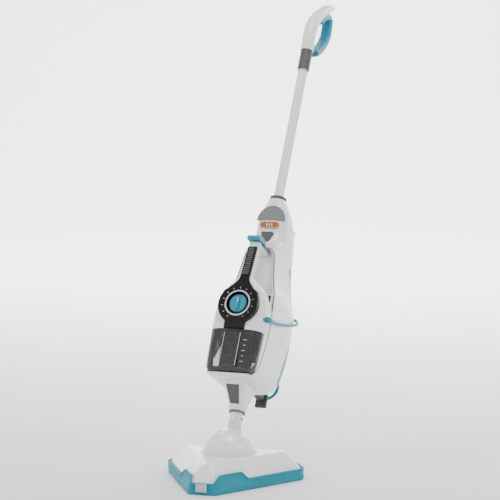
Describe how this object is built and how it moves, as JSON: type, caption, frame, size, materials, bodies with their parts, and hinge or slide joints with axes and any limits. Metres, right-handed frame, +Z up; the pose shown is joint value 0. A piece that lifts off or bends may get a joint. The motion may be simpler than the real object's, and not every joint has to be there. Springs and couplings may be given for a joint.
{
  "type": "steam mop",
  "caption": "Leaning upright steam mop with a triangular pad head, ball neck, dock body with a lift-out handheld steam unit, and a pole with a looped handle.",
  "frame": {"origin": "on the floor under the centre of the ball joint", "axes": "+Z up, -Y the way the mop is pushed, +X its right side seen from in front; the body leans back towards +Y"},
  "size_m": [0.3023, 0.7516, 1.0119],
  "materials": {
    "white_gloss": "glossy moulded",
    "teal_plastic": "satin moulded",
    "teal_fabric": "microfibre",
    "cord_sheath": "smooth sheath",
    "grey_plastic": "satin moulded",
    "black_gloss": "polished",
    "black_plastic": "fine texture",
    "smoke_clear": "smoked clear",
    "metal": "brushed",
    "chrome_trim": "bright",
    "orange_plate": "satin lacquer",
    "inner_plastic": "moulded",
    "seal_rubber": "soft"
  },
  "bodies": {
    "floor_head": {"cleaning_pad": "teal_fabric", "base_plate": "grey_plastic", "hook_strip": "grey_plastic", "head_cover": "white_gloss", "corner_bumper": "grey_plastic", "steam_distributor": "inner_plastic"},
    "swivel": {"ball_cup": "inner_plastic"},
    "cross": {"knuckle": "metal", "knuckle_hose": "seal_rubber"},
    "neck_tube": {"neck": "white_gloss", "neck_pipe": "inner_plastic", "neck_seal": "seal_rubber"},
    "latch": {"latch_button": "black_plastic"},
    "body": {"body_front": "white_gloss", "body_rear": "white_gloss", "spine_cover": "teal_plastic", "duct": "white_gloss", "duct_panel": "grey_plastic", "scoop_insert": "grey_plastic", "badge": "orange_plate", "top_ring": "grey_plastic", "pole_socket": "inner_plastic", "lower_cord_hook": "black_plastic", "steam_port": "inner_plastic", "hook_collar": "teal_plastic", "cord_lead": "cord_sheath", "cord_hank": "cord_sheath", "cord_tail": "cord_sheath", "mains_plug": "black_plastic", "cord_tie": "black_plastic"},
    "release": {"release_button": "grey_plastic"},
    "cord_hook": {"upper_cord_hook": "white_gloss"},
    "handheld": {"unit_left": "white_gloss", "unit_right": "white_gloss", "unit_grip": "white_gloss", "unit_cradle": "white_gloss", "trim_panel": "black_gloss", "dial_ring": "chrome_trim", "boiler": "metal", "pump": "inner_plastic", "water_tube": "inner_plastic", "steam_valve": "inner_plastic", "steam_nozzle": "metal", "steam_tube": "inner_plastic", "microswitch": "black_plastic", "trigger_pin": "metal", "strain_relief": "cord_sheath"},
    "dial": {"steam_dial": "teal_plastic"},
    "thumb_trigger": {"trigger": "teal_plastic"},
    "tank": {"water_tank": "smoke_clear"},
    "cap": {"tank_cap": "grey_plastic"},
    "pole_and_handle": {"pole": "white_gloss", "pole_collar": "grey_plastic", "handle_shell": "white_gloss", "grip_loop": "teal_plastic", "handle_link": "grey_plastic", "cord_clip": "grey_plastic"}
  },
  "joints": [
    {"name": "head_swivel", "type": "hinge", "parent": "floor_head", "child": "swivel", "pos_m": [0, 0, 0.0505], "axis": [0, 0, 1], "range_deg": [-60, 60]},
    {"name": "neck_roll", "type": "hinge", "parent": "swivel", "child": "cross", "pos_m": [0, 0, 0.0505], "axis": [0, 1, 0], "range_deg": [-15, 15]},
    {"name": "neck_pitch", "type": "hinge", "parent": "cross", "child": "neck_tube", "pos_m": [0, 0, 0.0505], "axis": [1, 0, 0], "range_deg": [-22, 27]},
    {"name": "latch_press", "type": "slide", "parent": "neck_tube", "child": "latch", "axis": [-1, 0, 0], "range_m": [0, 0.0015], "stiffness_N_per_m": 500},
    {"name": "body_pull", "type": "slide", "parent": "neck_tube", "child": "body", "axis": [0, 0.454, 0.891], "range_m": [0, 0.04]},
    {"name": "handheld_lift", "type": "slide", "parent": "body", "child": "handheld", "axis": [0, -0.891, 0.454], "range_m": [0, 0.06]},
    {"name": "tank_pull", "type": "slide", "parent": "handheld", "child": "tank", "axis": [0, -0.891, 0.454], "range_m": [0, 0.05]},
    {"name": "tank_cap_turn", "type": "hinge", "parent": "tank", "child": "cap", "pos_m": [0.03, 0.04733, 0.27554], "axis": [0, -0.891, 0.454], "range_deg": [0, 90]},
    {"name": "dial_turn", "type": "hinge", "parent": "handheld", "child": "dial", "pos_m": [0, 0.04937, 0.36766], "axis": [0, -0.891, 0.454], "range_deg": [0, 150]},
    {"name": "trigger_press", "type": "hinge", "parent": "handheld", "child": "thumb_trigger", "pos_m": [0, 0.14605, 0.49572], "axis": [1, 0, 0], "range_deg": [0, 3], "stiffness_Nm_per_rad": 2},
    {"name": "release_press", "type": "slide", "parent": "body", "child": "release", "axis": [0, 0.891, -0.454], "range_m": [0, 0.003], "stiffness_N_per_m": 500},
    {"name": "cord_hook_turn", "type": "hinge", "parent": "body", "child": "cord_hook", "pos_m": [0, 0.31553, 0.49354], "axis": [0, 0.891, -0.454], "range_deg": [0, 180]},
    {"name": "pole_pull", "type": "slide", "parent": "body", "child": "pole_and_handle", "axis": [0, 0.454, 0.891], "range_m": [0, 0.06]}
  ]
}
